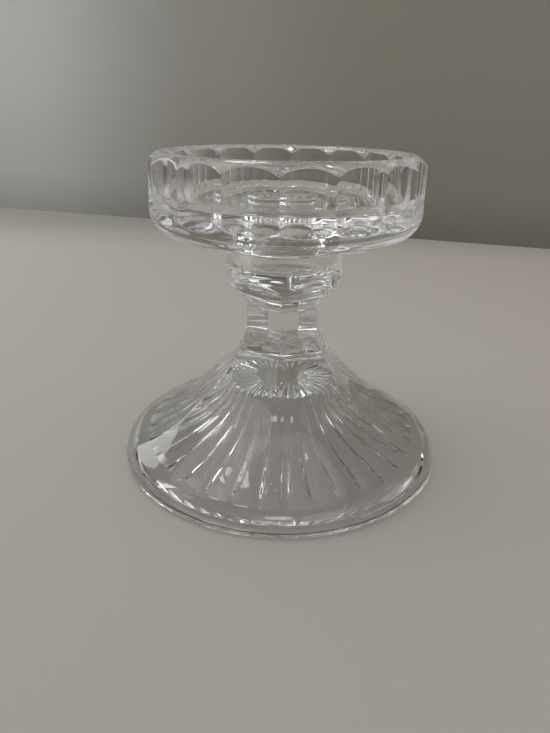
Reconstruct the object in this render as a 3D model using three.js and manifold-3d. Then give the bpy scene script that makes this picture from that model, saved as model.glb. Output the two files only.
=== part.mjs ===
// A pressed crystal pedestal candle holder.
// A heavy fluted dish takes a pillar candle on its floor, or a taper candle in the socket that runs
// down from the floor into a round collar. Below the collar a hexagonal stem flares into a broad
// foot that is smooth on top and ribbed underneath. The four castings are fused end to end.
// Units are millimetres, +Z is up, and the origin is the centre of the ring that the foot rests on.

import * as THREE from 'three';
import { mergeVertices } from 'three/addons/utils/BufferGeometryUtils.js';
import Module from 'manifold-3d';

// Foot: a heavy bell that stands on a flat ring
const FOOT_RADIUS = 54.5;
const FOOT_HEIGHT = 40;
const CONE_RADIUS = 36.9;
const CONE_HEIGHT = 18;
const CONE_ANGLE = 34;
const CONE_PULL = 7;
const RIM_ROLL_RADIUS = 8.5;
const FOOT_EDGE_RADIUS = 2;

// Where the foot is fused to the stem, both follow one corner radius and one slope
const THROAT_RADIUS = 15.6;
const THROAT_ANGLE = 62;
const THROAT_PULL = 4;

// Hollow under the foot: a low upright mouth, a ribbed trumpet and a nearly level ceiling round a hub
const MOUTH_RADIUS = 47.2;
const MOUTH_HEIGHT = 0.6;
const HOLLOW_ANGLE = 15;
const HOLLOW_PULL = 27;
const CROWN_RADIUS = 14.8;
const CROWN_HEIGHT = 24.3;
const DOME_RISE = 1.2;
const DOME_HUB_RADIUS = 4.3;
const FOOT_RIBS = 32;
const FOOT_RIB_HEIGHT = 1.2;
const FOOT_RIB_WIDTH = 3;
const FOOT_RIB_CROWDING = 0.7;
const FOOT_RIB_REACH = 43;
const FOOT_RIB_END = 8;
const FOOT_RIB_TURN = 5.2;
const CROWN_RIB_SHARE = 0.35;

// Stem: six flat panels, whose corners fade out on the cone of the foot
const STEM_HEIGHT = 14.7;
const STEM_RADIUS = 13.2;
const STEM_STRAIGHT = 5;
const PANELS = 6;
const PANEL_FADE_HEIGHT = 8;
const PANEL_FULL_HEIGHT = 30;

// Socket collar: round above, six coved panels below that start flush with the stem
const COLLAR_HEIGHT = 18.3;
const COLLAR_RADIUS = 18.7;
const COVE_WIDTH = 8.8;
const COVE_HEIGHT = 9.2;
const COVE_BEND_WIDTH = 0.4;
const COVE_BEND_HEIGHT = 3.7;

// Dish: a shallow cup with an upright fluted wall
const DISH_HEIGHT = 28.2;
const DISH_RADIUS = 42;
const NECK_HEIGHT = 3.8;
const NECK_FILLET = 2.2;
const FLOOR_THICKNESS = 10.3;
const DISH_TURN_WIDTH = 9;
const DISH_TURN_HEIGHT = 8.5;
const WELL_RADIUS = 35.6;
const WELL_CORNER = 3;
const CREST_RADIUS = 38;
const CREST_FLAT = 0.3;
const CREST_BEVEL = 3.2;
const CREST_BEVEL_ANGLE = 55;
const CREST_INNER_DROP = 1.4;
const DISH_FLUTES = 18;
const DISH_FLUTE_DEPTH = 1.8;
const DISH_FLUTE_FOOT = 14;
const DISH_FLUTE_RUNOUT = 4.3;

// Socket for a taper candle, with a low ring round its mouth
const SOCKET_RADIUS = 11.1;
const SOCKET_DEPTH = 21.3;
const SOCKET_MOUTH = 0.6;
const SOCKET_CORNER = 2.5;
const RING_RADIUS = 13.8;
const RING_HEIGHT = 2.3;
const RING_EDGE = 0.8;

// Facets round the whole turn, multiples of the six panels and of four
const ROUND_FACETS = 72;
const BORE_FACETS = 48;

// Steps along a fillet, a bevel or flute end, a larger turn and a long sweep of an outline
const FILLET_STEPS = 3;
const BEVEL_STEPS = 4;
const TURN_STEPS = 6;
const SWEEP_STEPS = 8;

// How far a cutter runs past what it cuts, past a cusp (as a share) and out of the wall
const CUT_PAST = 1;
const CUSP_SHARE = 1.15;
const BACK_OUT = 0.4;

// Heights of the faces where one casting is fused to the next, and of the dish's own levels
const COLLAR_Z = FOOT_HEIGHT + STEM_HEIGHT;
const DISH_Z = COLLAR_Z + COLLAR_HEIGHT;
const UNDERSIDE_Z = DISH_Z + NECK_HEIGHT;
const FLOOR_Z = UNDERSIDE_Z + FLOOR_THICKNESS;
const RING_Z = FLOOR_Z + RING_HEIGHT;
const CREST_Z = DISH_Z + DISH_HEIGHT;

const TURN = 2 * Math.PI;
const QUARTER = Math.PI / 2;
const wasm = await Module();
wasm.setup();

// A closed three.js geometry becomes a solid that can be joined and cut
function toSolid(geometry) {
  const bare = geometry.clone();
  bare.deleteAttribute('normal');
  bare.deleteAttribute('uv');
  const merged = mergeVertices(bare, 1e-4);
  return new wasm.Manifold(new wasm.Mesh({
    numProp: 3,
    vertProperties: new Float32Array(merged.attributes.position.array),
    triVerts: new Uint32Array(merged.index.array),
  }));
}

function toGeometry(solid) {
  const mesh = solid.getMesh();
  const geometry = new THREE.BufferGeometry();
  geometry.setAttribute('position', new THREE.BufferAttribute(mesh.vertProperties, 3));
  geometry.setIndex(new THREE.BufferAttribute(mesh.triVerts, 1));
  geometry.computeVertexNormals();
  return geometry;
}

// Turns an outline of radius and height about the Z axis. It is drawn from the axis outwards along
// the bottom, up the outside and back to the axis along the top.
function revolve(outline, facets) {
  const geometry = new THREE.LatheGeometry(outline, facets);
  geometry.rotateX(QUARTER);
  return toSolid(geometry);
}

// Joins closed rings of points, given from the lowest to the highest, and closes both ends
function loft(rings) {
  const count = rings[0].length;
  const positions = rings.flat().flatMap((point) => [point.x, point.y, point.z]);
  const faces = [];
  for (let level = 0; level + 1 < rings.length; level += 1) {
    for (let side = 0; side < count; side += 1) {
      const next = (side + 1) % count;
      const below = level * count;
      const above = below + count;
      faces.push(below + side, below + next, above + next);
      faces.push(below + side, above + next, above + side);
    }
  }
  for (const level of [0, rings.length - 1]) {
    const middle = new THREE.Vector3();
    for (const point of rings[level]) middle.addScaledVector(point, 1 / count);
    const hub = positions.length / 3;
    positions.push(middle.x, middle.y, middle.z);
    for (let side = 0; side < count; side += 1) {
      const here = level * count + side;
      const next = level * count + (side + 1) % count;
      faces.push(hub, ...(level === 0 ? [next, here] : [here, next]));
    }
  }
  const geometry = new THREE.BufferGeometry();
  geometry.setAttribute('position', new THREE.Float32BufferAttribute(positions, 3));
  geometry.setIndex(faces);
  return toSolid(geometry);
}

// Angle 0 is the front, -Y, and angles grow towards +X
function ringPoint(radius, angle, height) {
  return new THREE.Vector3(radius * Math.sin(angle), -radius * Math.cos(angle), height);
}

function facetAngles(facets) {
  return Array.from({ length: facets }, (_, side) => (TURN * side) / facets);
}

// Distance to the side of a regular polygon with a corner at angle 0, as a share of its corner radius
function polygonReach(angle) {
  const half = Math.PI / PANELS;
  const fromPanel = (angle % (2 * half)) - half;
  return Math.cos(half) / Math.cos(fromPanel);
}

// How much of the polygon is left at a height: all of it on the stem, nothing low on the cone
function panelShare(height) {
  return THREE.MathUtils.smoothstep(height, PANEL_FADE_HEIGHT, PANEL_FULL_HEIGHT);
}

// The rings of the foot and stem: the outline gives the corner radius, the panels cut in between
function panelledRings(outline) {
  return outline.map(({ x: radius, y: height }) => facetAngles(ROUND_FACETS).map((angle) => {
    const cutIn = panelShare(height) * (1 - polygonReach(angle));
    return ringPoint(radius * (1 - cutIn), angle, height);
  }));
}

function slopeStep(point, degrees, length) {
  const angle = THREE.MathUtils.degToRad(degrees);
  return new THREE.Vector2(point.x - length * Math.cos(angle), point.y + length * Math.sin(angle));
}

// The foot from its resting edge, round the rolled rim, up the cone and into the throat
function footOutline() {
  const edge = new THREE.Path();
  const edgeCentre = FOOT_RADIUS - FOOT_EDGE_RADIUS;
  edge.absarc(edgeCentre, FOOT_EDGE_RADIUS, FOOT_EDGE_RADIUS, -QUARTER, 0, false);
  const roll = new THREE.Path();
  const rollCentre = FOOT_RADIUS - RIM_ROLL_RADIUS;
  const rollEnd = QUARTER - THREE.MathUtils.degToRad(CONE_ANGLE);
  roll.absarc(rollCentre, FOOT_EDGE_RADIUS, RIM_ROLL_RADIUS, 0, rollEnd, false);
  const coneEnd = new THREE.Vector2(CONE_RADIUS, CONE_HEIGHT);
  const throat = new THREE.Vector2(THROAT_RADIUS, FOOT_HEIGHT);
  const flare = new THREE.CubicBezierCurve(
    coneEnd,
    slopeStep(coneEnd, CONE_ANGLE, CONE_PULL),
    slopeStep(throat, THROAT_ANGLE, -CONE_PULL),
    throat,
  );
  return [
    ...edge.getPoints(FILLET_STEPS),
    ...roll.getPoints(TURN_STEPS).slice(1),
    ...flare.getPoints(SWEEP_STEPS),
  ];
}

// The plunger that presses the hollow. Its grooves leave the ribs, whose crests lie on the trumpet
// and whose sides step up from it. Near the hub each rib keeps to a share of its pitch.
function hollowPlunger() {
  const mouth = new THREE.Vector2(MOUTH_RADIUS, MOUTH_HEIGHT);
  const crown = new THREE.Vector2(CROWN_RADIUS, CROWN_HEIGHT);
  const trumpet = new THREE.QuadraticBezierCurve(mouth, slopeStep(mouth, HOLLOW_ANGLE, HOLLOW_PULL), crown);
  const outline = trumpet.getPoints(TURN_STEPS);
  for (let step = 1; step <= FILLET_STEPS; step += 1) {
    const radius = THREE.MathUtils.lerp(CROWN_RADIUS, DOME_HUB_RADIUS, step / FILLET_STEPS);
    outline.push(new THREE.Vector2(radius, CROWN_HEIGHT + DOME_RISE * (1 - (radius / CROWN_RADIUS) ** 2)));
  }
  const pitch = TURN / FOOT_RIBS;
  const ringAt = (radius, height, rise) => {
    const halfWidth = Math.min(FOOT_RIB_WIDTH / radius, FOOT_RIB_CROWDING * pitch) / 2;
    return Array.from({ length: FOOT_RIBS }, (_, rib) => {
      const crest = rib * pitch + THREE.MathUtils.degToRad(FOOT_RIB_TURN);
      return [
        ringPoint(radius, crest, height),
        ringPoint(radius, crest + halfWidth, height + rise),
        ringPoint(radius, crest + pitch / 2, height + rise),
        ringPoint(radius, crest + pitch - halfWidth, height + rise),
      ];
    }).flat();
  };
  const ribbed = outline.map(({ x: radius, y: height }) => {
    const outer = THREE.MathUtils.clamp((FOOT_RIB_REACH - radius) / FOOT_RIB_END, 0, 1);
    const inner = THREE.MathUtils.clamp((radius - DOME_HUB_RADIUS) / (CROWN_RADIUS - DOME_HUB_RADIUS), 0, 1);
    const fade = Math.sqrt(1 - (1 - outer) ** 2) * Math.sqrt(inner);
    const spread = THREE.MathUtils.lerp(CROWN_RIB_SHARE, 1, radius / MOUTH_RADIUS);
    return ringAt(radius, height, FOOT_RIB_HEIGHT * fade * spread);
  });
  return loft([ringAt(MOUTH_RADIUS, -CUT_PAST, 0), ...ribbed]);
}

function makeFoot() {
  return toGeometry(loft(panelledRings(footOutline())).subtract(hollowPlunger()));
}

function makeStem() {
  const throat = new THREE.Vector2(THROAT_RADIUS, FOOT_HEIGHT);
  const neck = new THREE.Vector2(STEM_RADIUS, COLLAR_Z - STEM_STRAIGHT);
  const taper = new THREE.CubicBezierCurve(
    throat,
    slopeStep(throat, THROAT_ANGLE, THROAT_PULL),
    new THREE.Vector2(neck.x, neck.y - THROAT_PULL),
    neck,
  );
  const outline = [...taper.getPoints(TURN_STEPS), new THREE.Vector2(STEM_RADIUS, COLLAR_Z)];
  return toGeometry(loft(panelledRings(outline)));
}

// A quarter of an ellipse from one side of its centre to its top or bottom, as outline points
function ellipseArc(centre, width, height, from, to, steps) {
  const curve = new THREE.EllipseCurve(centre.x, centre.y, width, height, from, to, to < from);
  return curve.getPoints(steps);
}

// The bore of the socket, eased in its corner and at its mouth, as a cutter that runs up past the ring
function socketCutter() {
  const bottom = FLOOR_Z - SOCKET_DEPTH;
  const corner = new THREE.Vector2(SOCKET_RADIUS - SOCKET_CORNER, bottom + SOCKET_CORNER);
  return revolve([
    new THREE.Vector2(0, bottom),
    ...ellipseArc(corner, SOCKET_CORNER, SOCKET_CORNER, -QUARTER, 0, FILLET_STEPS),
    new THREE.Vector2(SOCKET_RADIUS, RING_Z - SOCKET_MOUTH),
    new THREE.Vector2(SOCKET_RADIUS + SOCKET_MOUTH, RING_Z),
    new THREE.Vector2(SOCKET_RADIUS + SOCKET_MOUTH, RING_Z + CUT_PAST),
    new THREE.Vector2(0, RING_Z + CUT_PAST),
  ], BORE_FACETS);
}

// A round blank kept where a six-sided cove lets it stand, bored for the socket
function makeCollar() {
  const blank = revolve([
    new THREE.Vector2(0, COLLAR_Z),
    new THREE.Vector2(COLLAR_RADIUS, COLLAR_Z),
    new THREE.Vector2(COLLAR_RADIUS, DISH_Z),
    new THREE.Vector2(0, DISH_Z),
  ], ROUND_FACETS);
  const cove = new THREE.QuadraticBezierCurve(
    new THREE.Vector2(STEM_RADIUS, COLLAR_Z),
    new THREE.Vector2(STEM_RADIUS + COVE_BEND_WIDTH, COLLAR_Z + COVE_BEND_HEIGHT),
    new THREE.Vector2(STEM_RADIUS + COVE_WIDTH, COLLAR_Z + COVE_HEIGHT),
  );
  const levels = [
    new THREE.Vector2(STEM_RADIUS, COLLAR_Z - CUT_PAST),
    ...cove.getPoints(SWEEP_STEPS),
    new THREE.Vector2(STEM_RADIUS + COVE_WIDTH, DISH_Z + CUT_PAST),
  ];
  const cup = loft(levels.map(({ x: radius, y: height }) => (
    facetAngles(PANELS).map((angle) => ringPoint(radius, angle, height))
  )));
  return toGeometry(blank.intersect(cup).subtract(socketCutter()));
}

// The dish before its flutes are cut: neck, flat underside, turned corner, wall and bevelled crest
function dishBlank() {
  const neck = new THREE.Vector2(COLLAR_RADIUS + NECK_FILLET, UNDERSIDE_Z - NECK_FILLET);
  const turn = new THREE.Vector2(DISH_RADIUS - DISH_TURN_WIDTH, UNDERSIDE_Z + DISH_TURN_HEIGHT);
  const inward = CREST_BEVEL / Math.tan(THREE.MathUtils.degToRad(CREST_BEVEL_ANGLE));
  const bevel = new THREE.QuadraticBezierCurve(
    new THREE.Vector2(DISH_RADIUS, CREST_Z - CREST_BEVEL),
    new THREE.Vector2(DISH_RADIUS - inward, CREST_Z),
    new THREE.Vector2(CREST_RADIUS, CREST_Z),
  );
  const outline = [
    new THREE.Vector2(0, DISH_Z),
    new THREE.Vector2(COLLAR_RADIUS, DISH_Z),
    ...ellipseArc(neck, NECK_FILLET, NECK_FILLET, Math.PI, QUARTER, FILLET_STEPS),
    ...ellipseArc(turn, DISH_TURN_WIDTH, DISH_TURN_HEIGHT, -QUARTER, 0, TURN_STEPS),
    ...bevel.getPoints(BEVEL_STEPS),
    new THREE.Vector2(0, CREST_Z),
  ];
  return revolve(outline, ROUND_FACETS);
}

// The well for the pillar candle, open above, eased at its mouth and in its corner
function wellCutter() {
  const corner = new THREE.Vector2(WELL_RADIUS - WELL_CORNER, FLOOR_Z + WELL_CORNER);
  const crest = new THREE.Vector2(CREST_RADIUS - CREST_FLAT, CREST_Z - CREST_INNER_DROP);
  const mouthWidth = crest.x - WELL_RADIUS;
  const outline = [
    new THREE.Vector2(0, FLOOR_Z),
    ...ellipseArc(corner, WELL_CORNER, WELL_CORNER, -QUARTER, 0, FILLET_STEPS),
    ...ellipseArc(crest, mouthWidth, CREST_INNER_DROP, Math.PI, QUARTER, FILLET_STEPS),
    new THREE.Vector2(crest.x, CREST_Z + CUT_PAST),
    new THREE.Vector2(0, CREST_Z + CUT_PAST),
  ];
  return revolve(outline, ROUND_FACETS);
}

// The low ring round the mouth of the socket, rooted in the floor
function socketRing() {
  const edge = new THREE.Vector2(RING_RADIUS - RING_EDGE, RING_Z - RING_EDGE);
  return revolve([
    new THREE.Vector2(0, FLOOR_Z - CUT_PAST),
    new THREE.Vector2(RING_RADIUS, FLOOR_Z - CUT_PAST),
    ...ellipseArc(edge, RING_EDGE, RING_EDGE, 0, QUARTER, FILLET_STEPS),
    new THREE.Vector2(0, RING_Z),
  ], BORE_FACETS);
}

// One upright cutter with a round nose. Its section is an arc through two neighbouring cusps, and
// it backs out of the wall along a quarter turn at its lower end.
function fluteCutter() {
  const halfPitch = Math.PI / DISH_FLUTES;
  const halfWidth = DISH_RADIUS * Math.sin(halfPitch);
  const sagitta = DISH_FLUTE_DEPTH - DISH_RADIUS * (1 - Math.cos(halfPitch));
  const arcRadius = (halfWidth ** 2 + sagitta ** 2) / (2 * sagitta);
  const centre = DISH_RADIUS - DISH_FLUTE_DEPTH + arcRadius;
  const spread = CUSP_SHARE * Math.asin(halfWidth / arcRadius);
  const back = DISH_RADIUS + 2 * DISH_FLUTE_DEPTH;
  const backOut = DISH_FLUTE_DEPTH + BACK_OUT;
  const section = (shift, height) => {
    const points = [];
    for (let step = 0; step <= TURN_STEPS; step += 1) {
      const angle = spread * ((2 * step) / TURN_STEPS - 1);
      const outwards = shift + centre - arcRadius * Math.cos(angle);
      points.push(new THREE.Vector3(arcRadius * Math.sin(angle), outwards, height));
    }
    const side = arcRadius * Math.sin(spread);
    points.push(new THREE.Vector3(side, shift + back, height));
    points.push(new THREE.Vector3(-side, shift + back, height));
    return points;
  };
  const footZ = DISH_Z + DISH_FLUTE_FOOT;
  const rings = [];
  for (let step = BEVEL_STEPS; step >= 0; step -= 1) {
    const angle = (QUARTER * step) / BEVEL_STEPS;
    rings.push(section(backOut * (1 - Math.cos(angle)), footZ - DISH_FLUTE_RUNOUT * Math.sin(angle)));
  }
  rings.push(section(0, CREST_Z + CUT_PAST));
  return loft(rings);
}

function makeDish() {
  let dish = dishBlank().subtract(wellCutter()).add(socketRing()).subtract(socketCutter());
  const cutter = fluteCutter();
  for (let flute = 0; flute < DISH_FLUTES; flute += 1) {
    const angle = (360 * (flute + 0.5)) / DISH_FLUTES;
    dish = dish.subtract(cutter.rotate([0, 0, angle]));
  }
  return toGeometry(dish);
}

const crystal = new THREE.MeshStandardMaterial({
  color: 0xf4f6f5,
  roughness: 0.03,
  metalness: 0,
  transparent: true,
  opacity: 0.35,
});

function addCasting(group, name, geometry) {
  const mesh = new THREE.Mesh(geometry, crystal.clone());
  mesh.name = name;
  group.add(mesh);
}

const candleHolder = new THREE.Group();
addCasting(candleHolder, 'foot', makeFoot());
addCasting(candleHolder, 'stem', makeStem());
addCasting(candleHolder, 'socket_collar', makeCollar());
addCasting(candleHolder, 'candle_dish', makeDish());

export default candleHolder;
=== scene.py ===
# %% [markdown]
# A crystal pedestal candle holder
#
# The real object is one clear lump of pressed glass in four sections: a fluted dish, a round socket
# collar, a six-sided stem and a bell-shaped foot that is ribbed underneath. It could be a single mesh,
# but the sections repeat round the axis in different steps: 18 flutes, 6 panels and 32 ribs. So each
# section is made as a fine surface of its own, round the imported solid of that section. The solids give
# the main radii and levels, and the last cells light all four sections so that they read as one glass.

# %% Load the fixed frame
import math

import bpy
import numpy as np
from mathutils import Matrix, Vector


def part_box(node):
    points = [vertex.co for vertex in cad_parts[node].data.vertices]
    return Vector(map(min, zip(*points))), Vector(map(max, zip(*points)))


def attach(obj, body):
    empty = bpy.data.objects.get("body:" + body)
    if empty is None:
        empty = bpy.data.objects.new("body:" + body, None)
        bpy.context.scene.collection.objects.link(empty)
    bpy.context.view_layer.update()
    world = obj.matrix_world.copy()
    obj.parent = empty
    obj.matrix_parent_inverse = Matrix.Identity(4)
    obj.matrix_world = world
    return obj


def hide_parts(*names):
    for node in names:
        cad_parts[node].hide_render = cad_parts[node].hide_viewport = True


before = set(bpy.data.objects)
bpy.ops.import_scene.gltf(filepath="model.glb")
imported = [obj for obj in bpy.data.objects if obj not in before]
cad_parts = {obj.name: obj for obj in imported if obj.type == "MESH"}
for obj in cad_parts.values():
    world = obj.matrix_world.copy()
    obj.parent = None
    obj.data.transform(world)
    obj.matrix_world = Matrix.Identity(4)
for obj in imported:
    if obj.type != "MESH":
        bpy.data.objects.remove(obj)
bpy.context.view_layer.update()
MM = 0.001


def top(node):
    """Height of a node's highest point, in millimetres."""
    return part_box(node)[1][2] / MM


def reach(node):
    """Largest distance of a node from the YZ or XZ plane, in millimetres."""
    low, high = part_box(node)
    return max(high[0], high[1], -low[0], -low[1]) / MM


FOOT_RADIUS = reach("foot")
COLLAR_RADIUS = reach("socket_collar")
DISH_RADIUS = reach("candle_dish")
STEM_Z = top("foot")
COLLAR_Z = top("stem")
DISH_Z = top("socket_collar")
CREST_Z = top("candle_dish")
print(f"foot {FOOT_RADIUS:.1f}, collar {COLLAR_RADIUS:.1f}, dish {DISH_RADIUS:.1f} mm in radius")
print(f"faces at {STEM_Z:.1f}, {COLLAR_Z:.1f} and {DISH_Z:.1f} mm, crest at {CREST_Z:.1f} mm")

# %% [markdown]
# Turned shapes with a twist
#
# Every section is nearly a turned shape, so a Screw modifier could spin it from an outline. But flutes,
# panels and ribs change the outline as it goes round. So a section is a grid instead: each row is one
# step along the outline, each column is one angle, and radius and height are whole arrays over it.


# %% Faces and poles of a grid
def grid_faces(rows, columns, ring):
    """Four-cornered faces between each row and the next, and the row that each face starts at.

    Corner number = row * columns + column. The last column joins the first, and on a ring the last
    row joins the first row as well.
    """
    corner = np.arange(rows * columns).reshape(rows, columns)
    above = np.roll(corner, -1, axis=0)
    faces = np.stack([corner, np.roll(corner, -1, axis=1), np.roll(above, -1, axis=1), above], axis=-1)
    bands = rows if ring else rows - 1
    return faces[:bands].reshape(-1, 4), np.repeat(np.arange(bands), columns)


def merge_poles(points, faces, poles):
    """Keeps one point of each pole row, so a face there names it twice and is left as a triangle.

    A corner's new number = how many points are kept before the one that stands for it.
    """
    rows, columns = points.shape[:2]
    stands_for = np.arange(rows * columns).reshape(rows, columns)
    keep = np.ones((rows, columns), bool)
    for row in poles:
        stands_for[row] = stands_for[row, 0]
        keep[row, 1:] = False
    number = np.cumsum(keep) - 1
    merged = number[stands_for.ravel()[faces]]
    # The keys of a dictionary drop the corner that a face names twice and keep the order of the rest
    return points[keep], [tuple(dict.fromkeys(face)) for face in merged.tolist()]


def signed_volume(mesh):
    """Sum of a . (b x c) / 6 over triangles with corners a, b and c: positive when faces point out."""
    mesh.calc_loop_triangles()
    corners = np.empty(len(mesh.loop_triangles) * 3, np.int32)
    mesh.loop_triangles.foreach_get("vertices", corners)
    places = np.empty(len(mesh.vertices) * 3)
    mesh.vertices.foreach_get("co", places)
    a, b, c = places.reshape(-1, 3)[corners.reshape(-1, 3)].transpose(1, 0, 2)
    return float(np.einsum("ij,ij->i", a, np.cross(b, c)).sum() / 6)


# %% [markdown]
# From a grid to a piece
#
# One function closes any such grid and makes it a mesh. Where two sections are fused, their flat faces
# meet inside the glass. Those rows of faces get the piece's second material, which the eye can't see.


# %% Grid to piece
def turned_mesh(name, radius, height, angles, bond_rows):
    """Closed surface x = r sin a, y = -r cos a, z = h over rows (outline) and columns (angle a).

    A first or last row of zero radius becomes one pole point. Otherwise the last row joins the first.
    Faces that start at a row in bond_rows take the second material.
    """
    rows, columns = radius.shape
    points = np.stack([radius * np.sin(angles), -radius * np.cos(angles), height], axis=-1) * MM
    poles = [row for row in (0, rows - 1) if np.allclose(radius[row], 0)]
    faces, start_row = grid_faces(rows, columns, ring=not poles)
    vertices, corners = merge_poles(points, faces, poles)
    mesh = bpy.data.meshes.new(name)
    mesh.from_pydata(vertices.tolist(), [], corners)
    mesh.polygons.foreach_set("material_index", np.isin(start_row, bond_rows).astype(np.int32))
    mesh.polygons.foreach_set("use_smooth", np.ones(len(corners), bool))
    mesh.update()
    if signed_volume(mesh) < 0:
        mesh.flip_normals()
    piece = bpy.data.objects.new(name, mesh)
    bpy.context.scene.collection.objects.link(piece)
    print(f"{name}: {rows} rows by {columns} columns, {abs(signed_volume(mesh)) * 1e6:.1f} cm3")
    return piece


def even_angles(columns):
    """Angles 2 pi k / columns."""
    return 2 * np.pi * np.arange(columns) / columns


def every_row(outline, columns):
    """Repeats an outline at every angle, as a grid of radius and a grid of height."""
    ones = np.ones(columns)
    return np.outer(outline[:, 0], ones), np.outer(outline[:, 1], ones)


# %% [markdown]
# Small tools for outlines
#
# An outline could be traced point by point, but then no size in it can be changed alone. So it is drawn
# as stretches with names for their sizes: straight lines, quarter turns of an ellipse and Bezier curves.


# %% Outline tools
def line(start, end, steps):
    """Points evenly spaced on a straight stretch, the end left out."""
    share = np.arange(steps) / steps
    return np.outer(1 - share, start) + np.outer(share, end)


def quarter(centre, width, height, start, end, steps):
    """Points centre + (width cos a, height sin a), a from start to end in degrees, the end left out."""
    turn = np.radians(start + (end - start) * np.arange(steps) / steps)
    return np.stack([centre[0] + width * np.cos(turn), centre[1] + height * np.sin(turn)], axis=-1)


def bezier(points, steps):
    """Bezier curve with both ends: the sum of C(n, k) t^k (1 - t)^(n - k) times control point k."""
    share = np.linspace(0, 1, steps + 1)
    order = len(points) - 1
    weights = [math.comb(order, k) * share**k * (1 - share) ** (order - k) for k in range(order + 1)]
    return sum(np.outer(weight, point) for weight, point in zip(weights, points))


def along(point, degrees, length):
    """The point a length away, inwards and up at an angle: (r - length cos a, z + length sin a)."""
    turn = math.radians(degrees)
    return np.array([point[0] - length * math.cos(turn), point[1] + length * math.sin(turn)])


# %% [markdown]
# Soft edges and crowded steps
#
# Molten glass leaves no sharp edge. A Bevel modifier would need every edge marked, so where two surfaces
# cut each other the smaller radius is taken by a smooth minimum, which eases the edge by a tenth of a
# millimetre or so. Columns crowd to where the surface bends most, and are sparse where it is plain.


# %% Easing and spacing
def eased_min(first, second, ease):
    """Smooth minimum: -ease log(exp(-first/ease) + exp(-second/ease))."""
    low = np.minimum(first, second)
    return low - ease * np.log(np.exp((low - first) / ease) + np.exp((low - second) / ease))


def crowded(count, crowding):
    """Positions u - crowding sin(2 pi u) / (2 pi) for even u from 0 to 1, the end left out."""
    even = np.arange(count) / count
    return even - crowding * np.sin(2 * np.pi * even) / (2 * np.pi)


def crowded_angles(repeats, columns, crowding):
    """Angles 2 pi (k + p) / n, for each of the n repeats k and each crowded position p within it."""
    place = np.arange(repeats)[:, None] + crowded(columns // repeats, crowding)
    return place.ravel() * (2 * np.pi / repeats)


# A flat end closes in two rows: a ring halfway in, and the pole
FLAT_END_STEPS = np.array([[0.5], [0]])


def flat_end(edge_radius, height):
    """Rows of the edge's radius times each step, from just inside the edge to the pole."""
    radius = edge_radius * FLAT_END_STEPS
    return radius, np.full_like(radius, height)


# %% [markdown]
# Six flat panels
#
# The stem and the lower collar are six-sided. Six cut planes would leave corners as sharp as a knife,
# so the reach of the hexagon is taken from all six panels together, in a power mean that rounds each
# corner slightly. Over the foot the corners fade out slowly, as if the glass had flowed.

# %% Panels
PANELS = 6
CORNER_POWER = 110
PANEL_FADE_HEIGHT = 8
PANEL_FULL_HEIGHT = 30


def polygon_reach(angles):
    """Distance to the side of a hexagon whose corners are at 1: cos 30 over the power mean of cos a
    for the angle a to each of the six panels, which eases the corners."""
    half = math.pi / PANELS
    turns = half + 2 * half * np.arange(PANELS)
    towards = np.clip(np.cos(angles[:, None] - turns), 0, None)
    mean = (towards**CORNER_POWER).sum(axis=1) ** (1 / CORNER_POWER)
    return math.cos(half) / mean


def panelled(outline, angles):
    """The outline gives the corner radius, and towards a panel it shrinks by s (1 - reach).

    The share s goes from 0 to 1 between the fade height and the full height, as 3 u^2 - 2 u^3.
    """
    radius, height = every_row(outline, len(angles))
    share = np.clip((height - PANEL_FADE_HEIGHT) / (PANEL_FULL_HEIGHT - PANEL_FADE_HEIGHT), 0, 1)
    share = share**2 * (3 - 2 * share)
    return radius * (1 - share * (1 - polygon_reach(angles))), height


print(f"a corner reaches {polygon_reach(np.zeros(1))[0]:.3f} of its full radius")

# %% [markdown]
# The bell of the foot
#
# The outside of the foot is a bell: a rolled rim, a straight cone and a throat that climbs into the
# stem. It could be one free curve, but the rim and the cone are plain to see on the real piece, so
# each has its own stretch, and only the throat is a Bezier curve. Its two ends have set slopes: the
# cone's below, and at the top the slope that the stem starts with.

# %% Bell
CONE_RADIUS = 36.9
CONE_HEIGHT = 18
CONE_ANGLE = 34
CONE_PULL = 7
RIM_ROLL_RADIUS = 8.5
FOOT_EDGE_RADIUS = 2
THROAT_RADIUS = 15.6
THROAT_ANGLE = 62


def bell_outline():
    """The foot's outside from its resting edge to the throat: two round turns, the cone, the throat."""
    edge = (FOOT_RADIUS - FOOT_EDGE_RADIUS, FOOT_EDGE_RADIUS)
    roll = (FOOT_RADIUS - RIM_ROLL_RADIUS, FOOT_EDGE_RADIUS)
    roll_end = 90 - CONE_ANGLE
    turn = math.radians(roll_end)
    roll_top = (roll[0] + RIM_ROLL_RADIUS * math.cos(turn), roll[1] + RIM_ROLL_RADIUS * math.sin(turn))
    cone = (CONE_RADIUS, CONE_HEIGHT)
    throat = (THROAT_RADIUS, STEM_Z)
    pulls = [cone, along(cone, CONE_ANGLE, CONE_PULL), along(throat, THROAT_ANGLE, -CONE_PULL), throat]
    return np.concatenate([
        quarter(edge, FOOT_EDGE_RADIUS, FOOT_EDGE_RADIUS, -90, 0, steps=9),
        quarter(roll, RIM_ROLL_RADIUS, RIM_ROLL_RADIUS, 0, roll_end, steps=14),
        line(roll_top, cone, steps=6),
        bezier(pulls, steps=30),
    ])


bell = bell_outline()
print(f"bell: {len(bell)} rows, {bell[0, 0]:.1f} mm in radius at the table, {bell[-1, 0]:.1f} at the stem")

# %% [markdown]
# The hollow under the foot
#
# A plunger has pressed a trumpet-shaped hollow into the foot: a shallow dome in the middle, a long curve
# outwards, and a mouth with a small rounded edge, from which the flat resting ring starts. A boolean cut
# could make it, but would break up the grid where the two meet. So the hollow's outline simply goes
# before the bell's in one closed surface.

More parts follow.
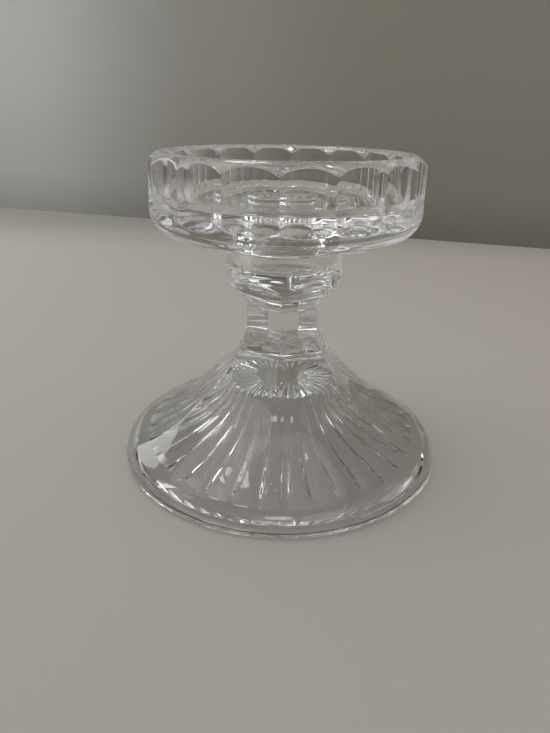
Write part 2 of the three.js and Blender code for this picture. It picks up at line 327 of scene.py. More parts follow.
# %% Hollow
MOUTH_RADIUS = 47.2
MOUTH_HEIGHT = 0.6
MOUTH_EDGE = 0.3
HOLLOW_ANGLE = 15
HOLLOW_PULL = 27
CROWN_RADIUS = 14.8
CROWN_HEIGHT = 24.3
DOME_RISE = 1.2
DOME_STEPS = 24


def trumpet_outline():
    """From beside the pole to the mouth: the dome z = crown + rise (1 - u^2), then a Bezier curve."""
    shoulder = (MOUTH_RADIUS - MOUTH_EDGE, MOUTH_HEIGHT)
    crown = (CROWN_RADIUS, CROWN_HEIGHT)
    share = np.arange(1, DOME_STEPS) / DOME_STEPS
    dome = np.stack([CROWN_RADIUS * share, CROWN_HEIGHT + DOME_RISE * (1 - share**2)], axis=-1)
    curve = bezier([crown, along(shoulder, HOLLOW_ANGLE, HOLLOW_PULL), shoulder], steps=51)
    return np.concatenate([dome, curve])


def mouth_outline():
    """The mouth's rounded edge after the trumpet, and the short wall down to the table."""
    edge = (MOUTH_RADIUS - MOUTH_EDGE, MOUTH_HEIGHT - MOUTH_EDGE)
    return np.concatenate([
        quarter(edge, MOUTH_EDGE, MOUTH_EDGE, 90, 0, steps=5)[1:],
        line((MOUTH_RADIUS, edge[1]), (MOUTH_RADIUS, 0), steps=3),
        [[MOUTH_RADIUS, 0]],
    ])


print(f"hollow: {CROWN_HEIGHT + DOME_RISE:.1f} mm deep, {2 * MOUTH_RADIUS:.1f} mm across at its mouth")

# %% [markdown]
# The ribs of the hollow
#
# Grooves in the plunger have left ribs that fan out from the crown. Seen through the smooth bell they
# are what gives the foot its sparkle, so a bump map wouldn't do: light has to pass through real slopes.
# The ribs stand on plain radii, and only the bell above bends their image into curves.

# %% Ribs
FOOT_RIBS = 32
FOOT_RIB_HEIGHT = 1.35
FOOT_RIB_WIDTH = 4.0
FOOT_RIB_REACH = 43
FOOT_RIB_END = 8
FOOT_RIB_TURN = 5.2
RIB_HUB_RADIUS = 4.3
RIB_HUB_SHARE = 0.35
RIB_PITCH_SHARE = 0.7


def rib_height(radius):
    """Full height times s + (1 - s) r / mouth radius, times a quarter circle at the outer end and a
    straight ramp from the hub to the crown, where s is the hub's share."""
    outer_end = np.clip((FOOT_RIB_REACH - radius) / FOOT_RIB_END, 0, 1)
    inner_end = np.clip((radius - RIB_HUB_RADIUS) / (CROWN_RADIUS - RIB_HUB_RADIUS), 0, 1)
    ends = np.sqrt(1 - (1 - outer_end) ** 2) * inner_end
    return FOOT_RIB_HEIGHT * ends * (RIB_HUB_SHARE + (1 - RIB_HUB_SHARE) * radius / MOUTH_RADIUS)


def groove_share(radius, angles):
    """How far the surface has left the crest of a rib: 1 - cos(pi x / w) squared.

    The distance x is from the middle of a rib of width w, so the share is 0 there and 1 between two
    ribs. Near the crown the ribs narrow, so that each keeps to 0.7 of its pitch.
    """
    pitch = 2 * np.pi / FOOT_RIBS
    across = ((angles - math.radians(FOOT_RIB_TURN)) / pitch + 0.5) % 1 - 0.5
    width = np.minimum(FOOT_RIB_WIDTH, RIB_PITCH_SHARE * pitch * radius)
    share = np.clip(np.abs(np.outer(pitch * radius / width, across)), 0, 0.5)
    return 1 - np.cos(np.pi * share) ** 2


def ribbed_hollow(angles):
    """Rows from the pole to the table: height = trumpet + rib height times groove share, so the crest
    of a rib lies on the trumpet and the glass between two ribs is thinner."""
    trumpet = trumpet_outline()
    radius, height = every_row(trumpet, len(angles))
    height = height + rib_height(trumpet[:, 0])[:, None] * groove_share(trumpet[:, 0], angles)
    mouth_radius, mouth_height = every_row(mouth_outline(), len(angles))
    pole = np.zeros((1, len(angles)))
    pole_height = np.full_like(pole, CROWN_HEIGHT + DOME_RISE)
    return np.concatenate([pole, radius, mouth_radius]), np.concatenate([pole_height, height, mouth_height])


highest_rib = rib_height(trumpet_outline()[:, 0]).max()
print(f"{FOOT_RIBS} ribs, {highest_rib:.2f} mm at their highest and {FOOT_RIB_WIDTH} mm wide")

# %% [markdown]
# The foot in one piece
#
# Hollow, bell and the flat face under the stem follow each other in one grid, so the surface is closed
# without a seam. Its columns crowd towards the middle of each rib, because between the ribs the surface
# hardly bends. The flat face is inside the glass, so it is bonded.

# %% Foot
FOOT_COLUMNS = 640
RIB_CROWDING = 0.75


def make_foot():
    """The rows of the hollow, then the bell's, then the flat end's, over columns that follow the ribs."""
    angles = crowded_angles(FOOT_RIBS, FOOT_COLUMNS, RIB_CROWDING) + math.radians(FOOT_RIB_TURN)
    hollow_radius, hollow_height = ribbed_hollow(angles)
    outer_radius, outer_height = panelled(bell, angles)
    end_radius, end_height = flat_end(outer_radius[-1], STEM_Z)
    radius = np.concatenate([hollow_radius, outer_radius, end_radius])
    height = np.concatenate([hollow_height, outer_height, end_height])
    rows = len(radius)
    return turned_mesh("crystal_foot", radius, height, angles, bond_rows=(rows - 3, rows - 2))


foot = make_foot()

# %% [markdown]
# The stem
#
# The stem is short, solid and plain. A six-sided cylinder with a taper could stand in for it, but its
# lower end has to run on from the foot without a kink, or the glass would show a seam. So its outline
# is a Bezier curve that starts with the radius and the slope of the foot's throat.

# %% Stem
STEM_RADIUS = 13.2
STEM_STRAIGHT = 5
STEM_COLUMNS = 720
THROAT_PULL = 4


def stem_outline():
    """The taper from the throat to the neck, and then a straight stretch up to the collar."""
    throat = (THROAT_RADIUS, STEM_Z)
    neck = np.array([STEM_RADIUS, COLLAR_Z - STEM_STRAIGHT])
    pulls = [throat, along(throat, THROAT_ANGLE, THROAT_PULL), neck - (0, THROAT_PULL), neck]
    straight = line(neck, (STEM_RADIUS, COLLAR_Z), steps=6)[1:]
    return np.concatenate([bezier(pulls, steps=24), straight, [[STEM_RADIUS, COLLAR_Z]]])


def make_stem():
    """The panelled outline between two flat ends, both of them bonded."""
    angles = even_angles(STEM_COLUMNS)
    side_radius, side_height = panelled(stem_outline(), angles)
    base_radius, base_height = flat_end(side_radius[0], STEM_Z)
    top_radius, top_height = flat_end(side_radius[-1], COLLAR_Z)
    radius = np.concatenate([base_radius[::-1], side_radius, top_radius])
    height = np.concatenate([base_height[::-1], side_height, top_height])
    rows = len(radius)
    return turned_mesh("crystal_stem", radius, height, angles, bond_rows=(0, 1, rows - 3, rows - 2))


stem = make_stem()

# %% [markdown]
# The side of the collar
#
# The collar is a round drum above and a six-sided cove below. Where the cove meets the drum its edge
# dips at each corner and rises at each panel. With level rows that edge would come out as a staircase,
# and the glass would show it. So the rows of the grid follow the edge instead.

# %% Collar side
COVE_BEND = (0.4, 3.7)
COVE_TOP = (8.8, 9.2)
COVE_STEPS = 28
DRUM_STEPS = 20
DRUM_CROWDING = 1.5
COLLAR_EASE = 0.3


def collar_side(hexagon):
    """Cove times hexagon, cut off at the drum's radius by the smooth minimum.

    The edge is at the height where cove radius times hexagon is the drum's radius. Rows are spread
    evenly below it, and above it as u to the power 1.5.
    """
    base = np.array([STEM_RADIUS, COLLAR_Z])
    cove = bezier([base, base + COVE_BEND, base + COVE_TOP], steps=199)
    edge = np.interp(COLLAR_RADIUS / hexagon, cove[:, 0], cove[:, 1])
    cove_rows = COLLAR_Z + np.outer(np.linspace(0, 1, COVE_STEPS + 1), edge - COLLAR_Z)
    drum_share = (np.arange(1, DRUM_STEPS) / DRUM_STEPS) ** DRUM_CROWDING
    drum_rows = edge + np.outer(drum_share, DISH_Z - edge)
    height = np.concatenate([cove_rows, drum_rows, np.full((1, len(hexagon)), DISH_Z)])
    profile = np.interp(height, cove[:, 1], cove[:, 0])
    print(f"the cove meets the drum between {edge.min():.1f} and {edge.max():.1f} mm")
    return eased_min(profile * hexagon, COLLAR_RADIUS, COLLAR_EASE), height


# %% [markdown]
# The taper socket in the collar
#
# The lower part of the socket for a thin candle is a smooth bore with a round corner at its floor. It
# could be cut by a boolean too, but as the grid's last rows it stays clean, and the whole collar is
# closed between two poles: one under the foot of the cove, one on the socket's floor.

# %% Collar
SOCKET_RADIUS = 11.1
SOCKET_DEPTH = 21.3
SOCKET_CORNER = 2.5
NECK_HEIGHT = 3.8
FLOOR_THICKNESS = 10.3
UNDERSIDE_Z = DISH_Z + NECK_HEIGHT
FLOOR_Z = UNDERSIDE_Z + FLOOR_THICKNESS
COLLAR_COLUMNS = 720


def socket_outline():
    """From the joint face down the wall, round the corner and in along the floor to the pole."""
    floor = FLOOR_Z - SOCKET_DEPTH
    corner = (SOCKET_RADIUS - SOCKET_CORNER, floor + SOCKET_CORNER)
    return np.concatenate([
        line((SOCKET_RADIUS, DISH_Z), (SOCKET_RADIUS, corner[1]), steps=6),
        quarter(corner, SOCKET_CORNER, SOCKET_CORNER, 0, -90, steps=8),
        line((corner[0], floor), (0, floor), steps=4),
        [[0, floor]],
    ])


def make_collar():
    """Flat end, side and socket. The faces against the stem and the dish are bonded."""
    angles = even_angles(COLLAR_COLUMNS)
    hexagon = polygon_reach(angles)
    end_radius, end_height = flat_end(STEM_RADIUS * hexagon, COLLAR_Z)
    side_radius, side_height = collar_side(hexagon)
    bore_radius, bore_height = every_row(socket_outline(), len(angles))
    radius = np.concatenate([end_radius[::-1], side_radius, bore_radius])
    height = np.concatenate([end_height[::-1], side_height, bore_height])
    dish_joint = len(end_radius) + len(side_radius) - 1
    return turned_mesh("crystal_collar", radius, height, angles, bond_rows=(0, 1, dish_joint))


collar = make_collar()

# %% [markdown]
# The flutes of the dish
#
# The wall of the dish is cut by upright flutes, each a shallow arc between two cusps, as a round wheel
# would cut them. A ring of cutters could take them out by booleans, but a formula for the radius at
# each angle gives the same arcs without a seam, and the smooth minimum then softens the cusps.

# %% Flutes
DISH_FLUTES = 18
DISH_FLUTE_DEPTH = 1.8
CUSP_EASE = 0.2


def flute_radius(angles):
    """Distance to the flutes' arcs, of radius R about a centre C from the axis.

    It is C cos a - sqrt(R squared - C squared sin squared a) for the angle a to each of the nearest
    two flutes, and then the smaller of them, eased at the cusp.
    """
    half = math.pi / DISH_FLUTES
    half_width = DISH_RADIUS * math.sin(half)
    sagitta = DISH_FLUTE_DEPTH - DISH_RADIUS * (1 - math.cos(half))
    arc = (half_width**2 + sagitta**2) / (2 * sagitta)
    centre = DISH_RADIUS - DISH_FLUTE_DEPTH + arc
    nearest = (angles % (2 * half)) - half
    second = nearest - np.where(nearest > 0, 2 * half, -2 * half)
    distances = []
    for turn in (nearest, second):
        across = centre * np.sin(turn)
        distances.append(centre * np.cos(turn) - np.sqrt(np.maximum(arc**2 - across**2, 0)))
    return eased_min(distances[0], distances[1], CUSP_EASE)


cusp_radius = flute_radius(np.zeros(1))[0]
print(f"{DISH_FLUTES} flutes, the cusps eased by {DISH_RADIUS - cusp_radius:.2f} mm")

# %% [markdown]
# The body under the flutes
#
# Without its flutes the dish is a turned shape: a corner below that is a quarter of an ellipse, an
# upright wall and a bevelled rim. The bevel bends gently, so it is a Bezier curve too. It is solved for
# the place where it has come in by the depth of a flute, because there the flute cuts it.

# %% Dish body
DISH_TURN_WIDTH = 9
DISH_TURN_HEIGHT = 8.5
CREST_RADIUS = 38
CREST_BEVEL = 3.2
CREST_BEVEL_ANGLE = 55
BEVEL_Z = CREST_Z - CREST_BEVEL
BEVEL_PULL = CREST_BEVEL / math.tan(math.radians(CREST_BEVEL_ANGLE))
BEVEL_BEND = 2 * BEVEL_PULL - (DISH_RADIUS - CREST_RADIUS)


def bevel_share(depth):
    """Share t along the bevel at which it has come in by a depth: bend t^2 - 2 pull t + depth = 0."""
    return depth / (BEVEL_PULL + np.sqrt(np.maximum(BEVEL_PULL**2 - BEVEL_BEND * depth, 0)))


def dish_body(height):
    """Dish radius - corner width (1 - sqrt(1 - u^2)) - 2 pull t + bend t^2, for the share u that a height
    is down the corner and the share t along the bevel, which climbs as 2 t - t^2."""
    down = np.clip((UNDERSIDE_Z + DISH_TURN_HEIGHT - height) / DISH_TURN_HEIGHT, 0, 1)
    wall = DISH_RADIUS - DISH_TURN_WIDTH * (1 - np.sqrt(1 - down**2))
    share = 1 - np.sqrt(1 - np.clip((height - BEVEL_Z) / CREST_BEVEL, 0, 1))
    return wall - 2 * BEVEL_PULL * share + BEVEL_BEND * share**2


arch_drop = CREST_BEVEL * (1 - bevel_share(DISH_FLUTE_DEPTH)) ** 2
print(f"the arches rise to {arch_drop:.2f} mm below the crest")

# %% [markdown]
# Arches and feet of the flutes
#
# A flute runs out at its foot in a quarter turn, and at the top it cuts the bevel, which leaves the row
# of little arches. Level rows would turn both edges into steps, so rows follow them: at each angle the
# heights are spread between the underside, the foot of the flute, its arch and the crest.

# %% Dish wall
DISH_FLUTE_FOOT = 14
DISH_FLUTE_RUNOUT = 4.3
RUNOUT_OVERSHOOT = 0.4
RUNOUT_SLOPE = 4
FLUTE_FOOT_Z = DISH_Z + DISH_FLUTE_FOOT
FLUTE_BACK_OUT = DISH_FLUTE_DEPTH + RUNOUT_OVERSHOOT
ARCH_EASE = 0.12
WALL_STEPS = 25
BEVEL_STEPS = 16


def wall_rows(depth):
    """Heights of the rows at each angle, for the depth that a flute has there.

    They go as 1 - cos to the flute's foot, as half a cosine wave to its arch, and as sin to the crest.
    """
    foot_edge = FLUTE_FOOT_Z - DISH_FLUTE_RUNOUT * np.sqrt(1 - (1 - depth / FLUTE_BACK_OUT) ** 2)
    arch = BEVEL_Z + CREST_BEVEL * (1 - (1 - bevel_share(depth)) ** 2)
    share = np.linspace(0, 1, WALL_STEPS + 1)[:, None]
    corner_rows = UNDERSIDE_Z + (foot_edge - UNDERSIDE_Z) * (1 - np.cos(share * np.pi / 2))
    flute_rows = foot_edge + (arch - foot_edge) * (1 - np.cos(np.pi * share[1:])) / 2
    share = np.linspace(0, 1, BEVEL_STEPS + 1)[1:, None]
    bevel_rows = arch + (CREST_Z - arch) * np.sin(share * np.pi / 2)
    return np.concatenate([corner_rows, flute_rows, bevel_rows])


def flute_retreat(height):
    """How far a flute backs out below its foot: a quarter of an ellipse, and then a steep slope."""
    turn = np.clip((FLUTE_FOOT_Z - height) / DISH_FLUTE_RUNOUT, 0, 1)
    below = np.clip(FLUTE_FOOT_Z - DISH_FLUTE_RUNOUT - height, 0, None)
    return FLUTE_BACK_OUT * (1 - np.sqrt(1 - turn**2)) + RUNOUT_SLOPE * below


def dish_wall(angles):
    """Smooth minimum of the body and of the flute plus its retreat, from the underside to the crest."""
    flute = flute_radius(angles)
    height = wall_rows(np.clip(DISH_RADIUS - flute, 0, None))
    return eased_min(dish_body(height), flute + flute_retreat(height), ARCH_EASE), height


# %% [markdown]
# The well and the neck
#
# Inside, the dish has a well for a wide candle, and in its middle a low ring round the mouth of the
# socket. Below, a short neck with a fillet stands on the collar. All of it is round, so plain outlines
# are enough, and they close the wall's grid into a ring with no pole at all.

# %% Dish
WELL_RADIUS = 35.6
WELL_CORNER = 3
CREST_INNER_DROP = 1.4
RING_RADIUS = 13.8
RING_HEIGHT = 2.3
RING_EDGE = 0.8
SOCKET_MOUTH = 0.6
NECK_FILLET = 2.2
DISH_COLUMNS = 720
FLUTE_CROWDING = 0.6


def neck_outline():
    """The joint face from the socket out, the neck with its fillet, and the flat underside."""
    fillet = (COLLAR_RADIUS + NECK_FILLET, UNDERSIDE_Z - NECK_FILLET)
    return np.concatenate([
        line((SOCKET_RADIUS, DISH_Z), (COLLAR_RADIUS, DISH_Z), steps=2),
        line((COLLAR_RADIUS, DISH_Z), (COLLAR_RADIUS, fillet[1]), steps=2),
        quarter(fillet, NECK_FILLET, NECK_FILLET, 180, 90, steps=6),
        line((fillet[0], UNDERSIDE_Z), (DISH_RADIUS - DISH_TURN_WIDTH, UNDERSIDE_Z), steps=4),
    ])


def well_outline():
    """From the crest in and down the well, over the ring, round the mouth and down the socket."""
    crest = (CREST_RADIUS, CREST_Z - CREST_INNER_DROP)
    corner = (WELL_RADIUS - WELL_CORNER, FLOOR_Z + WELL_CORNER)
    ring_z = FLOOR_Z + RING_HEIGHT
    ring = (RING_RADIUS - RING_EDGE, ring_z - RING_EDGE)
    mouth = (SOCKET_RADIUS + SOCKET_MOUTH, ring_z - SOCKET_MOUTH)
    return np.concatenate([
        quarter(crest, CREST_RADIUS - WELL_RADIUS, CREST_INNER_DROP, 90, 180, steps=12)[1:],
        line((WELL_RADIUS, crest[1]), (WELL_RADIUS, corner[1]), steps=4),
        quarter(corner, WELL_CORNER, WELL_CORNER, 0, -90, steps=10),
        line((corner[0], FLOOR_Z), (RING_RADIUS, FLOOR_Z), steps=6),
        line((RING_RADIUS, FLOOR_Z), (RING_RADIUS, ring[1]), steps=2),
        quarter(ring, RING_EDGE, RING_EDGE, 0, 90, steps=8),
        quarter(mouth, SOCKET_MOUTH, SOCKET_MOUTH, 90, 180, steps=6),
        line((SOCKET_RADIUS, mouth[1]), (SOCKET_RADIUS, DISH_Z), steps=4),
    ])


def make_dish():
    """Neck, wall and well in one ring of rows. The joint face to the collar is bonded."""
    angles = crowded_angles(DISH_FLUTES, DISH_COLUMNS, FLUTE_CROWDING)
    wall_radius, wall_height = dish_wall(angles)
    neck_radius, neck_height = every_row(neck_outline(), len(angles))
    well_radius, well_height = every_row(well_outline(), len(angles))
    radius = np.concatenate([neck_radius, wall_radius, well_radius])
    height = np.concatenate([neck_height, wall_height, well_height])
    return turned_mesh("crystal_dish", radius, height, angles, bond_rows=(0, 1))


dish = make_dish()

# %% [markdown]
# Crystal
#
# Clear pressed crystal is nearly colourless and bends light more than window glass does. Its skin is
# fire polished, so it is perfectly smooth. Real caustics need far more samples than a clean render can
# afford, so the lamps shine straight through the glass instead, and lose a little light at each skin.
# That gives the piece a soft pale shadow.

# %% Clear crystal
# The faint grey is partly the crystal's own tint and partly painted shade, which dims all that is seen
# through the glass
CRYSTAL_TINT_AND_SHADE = (0.94, 0.937, 0.927, 1)
CRYSTAL_INDEX = 1.53
SHADOW_TINT = (0.975, 0.975, 0.975, 1)


def new_material(name):
    """An empty material: itself, its nodes, its links and its output."""
    material = bpy.data.materials.new(name)
    material.use_nodes = True
    material.node_tree.nodes.clear()
    output = material.node_tree.nodes.new("ShaderNodeOutputMaterial")
    return material, material.node_tree.nodes, material.node_tree.links, output


def clear_crystal():
    """Smooth glass to the eye, and a thin veil to shadow rays."""
    material, nodes, links, output = new_material("clear_crystal")
    glass = nodes.new("ShaderNodeBsdfPrincipled")
    glass.inputs["Base Color"].default_value = CRYSTAL_TINT_AND_SHADE
    glass.inputs["Transmission Weight"].default_value = 1
    glass.inputs["IOR"].default_value = CRYSTAL_INDEX
    glass.inputs["Roughness"].default_value = 0
    veil = nodes.new("ShaderNodeBsdfTransparent")
    veil.inputs["Color"].default_value = SHADOW_TINT
    path = nodes.new("ShaderNodeLightPath")
    mix = nodes.new("ShaderNodeMixShader")
    links.new(path.outputs["Is Shadow Ray"], mix.inputs[0])
    links.new(glass.outputs["BSDF"], mix.inputs[1])
    links.new(veil.outputs["BSDF"], mix.inputs[2])
    links.new(mix.outputs["Shader"], output.inputs["Surface"])
    return material


crystal = clear_crystal()
print(f"{crystal.name}: index {CRYSTAL_INDEX}, a skin passes {SHADOW_TINT[0]:.1%} of a lamp's light")

# %% [markdown]
# The bond between the sections
#
# Where two sections are fused there is no surface left in the real glass. Deleting those faces would
# open the meshes, and a glass face there would bend the light twice. So the faces stay, and carry a
# material that lets all light through and bends nothing. The pieces then take their places in the frame.


# %% Bond and places
def clear_bond():
    """Wholly transparent, with nothing to bend or colour the light."""
    material, nodes, links, output = new_material("clear_bond")
    nothing = nodes.new("ShaderNodeBsdfTransparent")
    links.new(nothing.outputs["BSDF"], output.inputs["Surface"])
    return material


bond = clear_bond()
for piece, node in ((foot, "foot"), (stem, "stem"), (collar, "socket_collar"), (dish, "candle_dish")):
    piece.data.materials.append(crystal)
    piece.data.materials.append(bond)
    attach(piece, "root")
    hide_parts(node)
    print(f"{piece.name} stands for {node}")

# %% [markdown]
# Colours, painted light and painted shade that drift
#
# Glass shows what is around it, so the surroundings matter as much as the material. One flat colour
# would leave the glass lifeless, and a picture as a backdrop would be more than it needs. So floor and
# backdrop have plain matt colours with painted light and painted shade, which drift slowly from place to
# place.


# %% Matt sheets of drifting colour, painted light and painted shade
def drift(nodes, links, value, stops):
    """Smooth colour ramp over the stops, which are pairs of a place in metres and a colour.

    A stop is at (place - first place) / (last place - first place) along the ramp.
    """
    low = stops[0][0]
    high = stops[-1][0]
    span = nodes.new("ShaderNodeMapRange")
    span.inputs["From Min"].default_value = low
    span.inputs["From Max"].default_value = high
    links.new(value, span.inputs["Value"])
    ramp = nodes.new("ShaderNodeValToRGB")
    ramp.color_ramp.interpolation = "EASE"
    while len(ramp.color_ramp.elements) < len(stops):
        ramp.color_ramp.elements.new(0.5)
    for element, (place, colour) in zip(ramp.color_ramp.elements, stops):
        element.position = (place - low) / (high - low)
        element.color = (*colour, 1)
    links.new(span.outputs["Result"], ramp.inputs["Fac"])
    return ramp.outputs["Color"]


def drifting_material(name, colour_and_light, shade, roughness):
    """Base colour = colour_and_light times shade, each an axis and its stops: own colour with painted
    light, and painted shade.
    """
    material, nodes, links, output = new_material(name)
    shader = nodes.new("ShaderNodeBsdfPrincipled")
    shader.inputs["Roughness"].default_value = roughness
    place = nodes.new("ShaderNodeTexCoord")
    split = nodes.new("ShaderNodeSeparateXYZ")
    links.new(place.outputs["Object"], split.inputs[0])
    mix = nodes.new("ShaderNodeMix")
    mix.data_type = "RGBA"
    mix.blend_type = "MULTIPLY"
    mix.inputs["Factor"].default_value = 1
    # A takes the sheet's own colour with its painted light, B the painted shade that multiplies it
    for side, (axis, stops) in (("A", colour_and_light), ("B", shade)):
        links.new(drift(nodes, links, split.outputs[axis], stops), mix.inputs[side])
    links.new(mix.outputs["Result"], shader.inputs["Base Color"])
    links.new(shader.outputs["BSDF"], output.inputs["Surface"])
    return material


def flat_sheet(name, corners, material):
    """One face over four corners."""
    mesh = bpy.data.meshes.new(name)
    mesh.from_pydata(corners, [], [(0, 1, 2, 3)])
    mesh.materials.append(material)
    sheet = bpy.data.objects.new(name, mesh)
    bpy.context.scene.collection.objects.link(sheet)
    print(f"{name}: {corners[1][0] - corners[0][0]:.2f} m wide, {material.name}")


# %% [markdown]
# Floor
#
# A pale warm floor fills the foot with light from below. It could be a studio sweep that curves up into
# the background, but a table and a wall have an edge between them, and the glass shows that edge. The
# floor lies a twentieth of a millimetre low, which leaves the film of air that a foot has on a table.

# %% Floor
FLOOR_REACH = 1.2
FLOOR_DROP = 0.00005
FLOOR_ROUGHNESS = 0.9
# Across X the floor's pale warm colour carries painted light: a little darker on the left and lighter on
# the right
FLOOR_COLOUR_AND_PAINTED_LIGHT = [(-0.16, (0.60, 0.565, 0.515)), (0.16, (0.665, 0.61, 0.55))]
# Along Y the floor has painted shade: a little darker near the camera, and much darker at the foot of the
# backdrop, a painted shadow in the crease
FLOOR_PAINTED_SHADE = [(-0.2, (0.93,) * 3), (0.1, (1,) * 3), (0.3, (1,) * 3), (0.47, (0.7,) * 3)]

flat_sheet(
    "floor",
    [
        (-FLOOR_REACH, -FLOOR_REACH, -FLOOR_DROP),
        (FLOOR_REACH, -FLOOR_REACH, -FLOOR_DROP),
        (FLOOR_REACH, FLOOR_REACH, -FLOOR_DROP),
        (-FLOOR_REACH, FLOOR_REACH, -FLOOR_DROP),
    ],
    drifting_material("pale_floor", ("X", FLOOR_COLOUR_AND_PAINTED_LIGHT), ("Y", FLOOR_PAINTED_SHADE), FLOOR_ROUGHNESS),
)

# %% [markdown]
# Backdrop
#
# A darker warm backdrop stands a little way behind, leans back and comes nearer on the right. It could
# be left to the world's colour, but only a real sheet gives the glass a near, dark field with an edge.

# %% Backdrop
BACKDROP_Y = 0.43
BACKDROP_SKEW = 0.25
BACKDROP_RIGHT = 0.75
BACKDROP_LEAN = 0.1
BACKDROP_HEIGHT = 0.6
BACKDROP_ROUGHNESS = 0.95
# Across X the backdrop's warm colour carries painted light: lighter on the left, where a window's light
# falls, and darkest a little right of the middle
BACKDROP_COLOUR_AND_PAINTED_LIGHT = [
    (-0.32, (0.52, 0.54, 0.51)),
    (-0.1, (0.35, 0.335, 0.30)),
    (0.06, (0.315, 0.29, 0.24)),
    (0.3, (0.34, 0.32, 0.275)),
]
# Up the backdrop is painted shade: darker at its foot, a painted shadow in the crease with the floor
BACKDROP_PAINTED_SHADE = [(0, (0.72, 0.71, 0.69)), (0.05, (0.93, 0.92, 0.91)), (0.16, (1, 1, 1))]
backdrop_left_y = BACKDROP_Y + BACKDROP_SKEW * FLOOR_REACH
backdrop_right_y = BACKDROP_Y - BACKDROP_SKEW * BACKDROP_RIGHT

flat_sheet(
    "backdrop",
    [
        (-FLOOR_REACH, backdrop_left_y, -FLOOR_DROP),
        (BACKDROP_RIGHT, backdrop_right_y, -FLOOR_DROP),
        (BACKDROP_RIGHT, backdrop_right_y + BACKDROP_LEAN, BACKDROP_HEIGHT),
        (-FLOOR_REACH, backdrop_left_y + BACKDROP_LEAN, BACKDROP_HEIGHT),
    ],
    drifting_material("warm_backdrop", ("X", BACKDROP_COLOUR_AND_PAINTED_LIGHT), ("Z", BACKDROP_PAINTED_SHADE), BACKDROP_ROUGHNESS),
)

# %% [markdown]
# Light
#
# The room has soft lamps above and windows on the left, on the right and in front. One big light would
# be softer still, but crystal lives from small bright shapes. So a small lamp makes crisp glints in the
# ribs, and a large one makes the soft shade. A lamp that is large for its power leaves no outline in
# the glass, and an oval one looks less like a studio light than a square one.

# %% Lamps
WHITE = (1, 1, 1)
DAYLIGHT = (0.86, 0.94, 1)
PART_MIDDLE = (0, 0, 0.05)
# Name, place, width and height in metres, power in watts and colour
LAMPS = [
    ("ceiling_lamp", (-0.25, 0.4, 1.0), (0.28, 0.28), 1.3, WHITE),
    ("ceiling", (0, -0.1, 1.0), (1.0, 1.0), 1.2, WHITE),
    ("left_shelf_light", (-0.6, 0.0, 0.9), (0.6, 0.6), 0.9, WHITE),
    ("left_curtain_gap", (-0.8, -0.1, 0.35), (0.08, 0.5), 0.8, WHITE),
    ("left_door", (-0.7, 0.36, 0.35), (0.3, 0.4), 0.85, WHITE),
    ("left_window", (-0.86, -0.22, 0.52), (0.5, 0.45), 0.6, DAYLIGHT),
    ("right_wall", (0.95, 0.0, 0.28), (0.6, 0.4), 0.8, WHITE),
    ("front_right_window", (0.55, -0.8, 0.5), (0.5, 0.5), 0.6, DAYLIGHT),
    ("front_window", (0.05, -1.0, 0.6), (0.35, 0.25), 1.1, WHITE),
]


def area_lamp(name, place, size, power, colour):
    """An oval lamp that faces the middle of the part: yaw = atan2(-dx, dy), pitch = acos(-dz / d) for
    the way (dx, dy, dz) from the lamp to the middle, d long."""
    data = bpy.data.lights.new(name, "AREA")
    data.shape = "ELLIPSE"
    data.size, data.size_y = size
    data.energy = power
    data.color = colour
    lamp = bpy.data.objects.new(name, data)
    lamp.location = place
    way = np.array(PART_MIDDLE) - np.array(place)
    yaw = math.atan2(-way[0], way[1])
    pitch = math.acos(-way[2] / np.linalg.norm(way))
    lamp.rotation_euler = (pitch, 0, yaw)
    bpy.context.scene.collection.objects.link(lamp)


for row in LAMPS:
    area_lamp(*row)
print(f"{len(LAMPS)} lamps, {sum(power for _, _, _, power, _ in LAMPS):.2f} W in all")

# %% [markdown]
# The air of the room
#
# Between the lamps a real room isn't black: its walls glow dimly, most of all above and on the left. A
# photograph of a room could wrap the scene, but it would put pictures of furniture into the glass. A
# sum of two slow ramps gives the glow and nothing else.

# %% Room air
AIR_COLOUR = (0.98, 0.99, 1, 1)
SKY_BASE = 0.04
SKY_UP = 0.07
SKY_LEFT = 0.11


def room_air():
    """Dim air of the room: strength = base + up max(z, 0) + left max(-x, 0) in direction (x, y, z)."""
    world = bpy.data.worlds.new("room")
    bpy.context.scene.world = world
    world.use_nodes = True
    nodes = world.node_tree.nodes
    links = world.node_tree.links
    place = nodes.new("ShaderNodeTexCoord")
    split = nodes.new("ShaderNodeSeparateXYZ")
    links.new(place.outputs["Generated"], split.inputs[0])
    base = nodes.new("ShaderNodeValue")
    base.outputs["Value"].default_value = SKY_BASE
    glow = base.outputs["Value"]
    for axis, strength in (("Z", SKY_UP), ("X", -SKY_LEFT)):
        share = nodes.new("ShaderNodeMath")
        share.operation = "MULTIPLY"
        share.use_clamp = True
        links.new(split.outputs[axis], share.inputs[0])
        share.inputs[1].default_value = strength
        total = nodes.new("ShaderNodeMath")
        links.new(glow, total.inputs[0])
        links.new(share.outputs["Value"], total.inputs[1])
        glow = total.outputs["Value"]
    air = nodes["Background"]
    air.inputs["Color"].default_value = AIR_COLOUR
    links.new(glow, air.inputs["Strength"])


room_air()
print(f"air: {SKY_BASE} all round, up to {SKY_UP} more from above and {SKY_LEFT} from the left")

# %% [markdown]
# Camera
#
# The camera stands close, a little above the rim, and looks down. It could be aimed by a Track To
# constraint, but a camera in the hand is also a little askew. So its turn round the part, its step to
# the side, its tilt and its roll are set one by one, in millimetres and degrees.

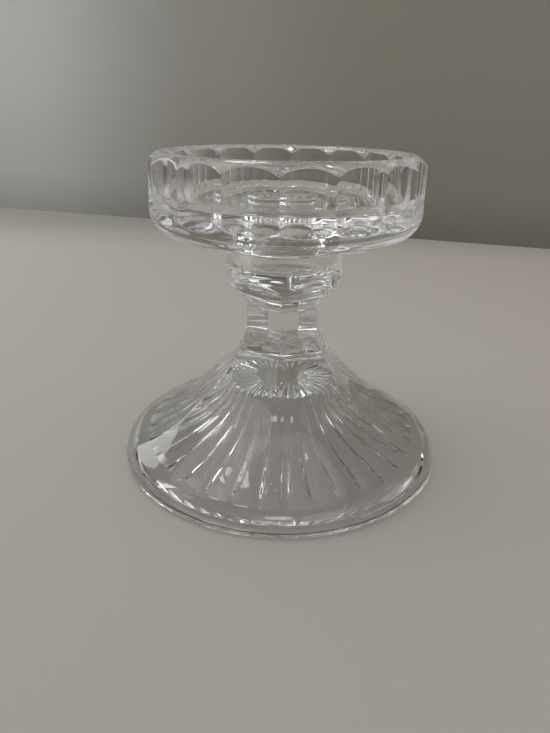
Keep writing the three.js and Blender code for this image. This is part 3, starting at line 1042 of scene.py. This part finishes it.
# %% Camera
CAMERA_DISTANCE = 191.6
CAMERA_HEIGHT = 112.4
CAMERA_SIDE = -2.3
CAMERA_DOWN = 23.1
CAMERA_ROLL = 1.15
CAMERA_TURN = 3.1
LENS = 29.47
SENSOR_WIDTH = 36
CLIP_START = 0.005

camera_data = bpy.data.cameras.new("camera")
camera_data.lens = LENS
camera_data.sensor_width = SENSOR_WIDTH
camera_data.clip_start = CLIP_START
camera = bpy.data.objects.new("camera", camera_data)
turn = math.radians(CAMERA_TURN)
# Before its turn round the part the camera is at (side, -distance) and looks along +Y
camera.location = (
    (CAMERA_SIDE * math.cos(turn) + CAMERA_DISTANCE * math.sin(turn)) * MM,
    (CAMERA_SIDE * math.sin(turn) - CAMERA_DISTANCE * math.cos(turn)) * MM,
    CAMERA_HEIGHT * MM,
)
camera.rotation_mode = "QUATERNION"
aim = Matrix.Rotation(turn, 3, "Z") @ Matrix.Rotation(math.radians(90 - CAMERA_DOWN), 3, "X")
aim = aim @ Matrix.Rotation(math.radians(CAMERA_ROLL), 3, "Z")
camera.rotation_quaternion = aim.to_quaternion()
bpy.context.scene.collection.objects.link(camera)
bpy.context.scene.camera = camera
print(f"camera {CAMERA_HEIGHT - CREST_Z:.1f} mm above the crest, looking {CAMERA_DOWN} degrees down")

# %% [markdown]
# Paths of light
#
# A ray that goes through dish, collar and foot crosses many skins of glass, and each fused face takes a
# transparent step too. Blender's usual limits would cut such rays short and leave black patches, so
# they are raised. The plain Standard view keeps the colours as they are set.

# %% Render paths
GLASS_BOUNCES = 32
GLOSSY_BOUNCES = 16
BOND_STEPS = 64

scene = bpy.context.scene
scene.view_settings.view_transform = "Standard"
cycles = scene.cycles
cycles.max_bounces = GLASS_BOUNCES
cycles.transmission_bounces = GLASS_BOUNCES
cycles.glossy_bounces = GLOSSY_BOUNCES
cycles.transparent_max_bounces = BOND_STEPS
cycles.use_denoising = True
cycles.caustics_reflective = False
cycles.caustics_refractive = False
print(f"up to {GLASS_BOUNCES} bounces and {BOND_STEPS} transparent steps")
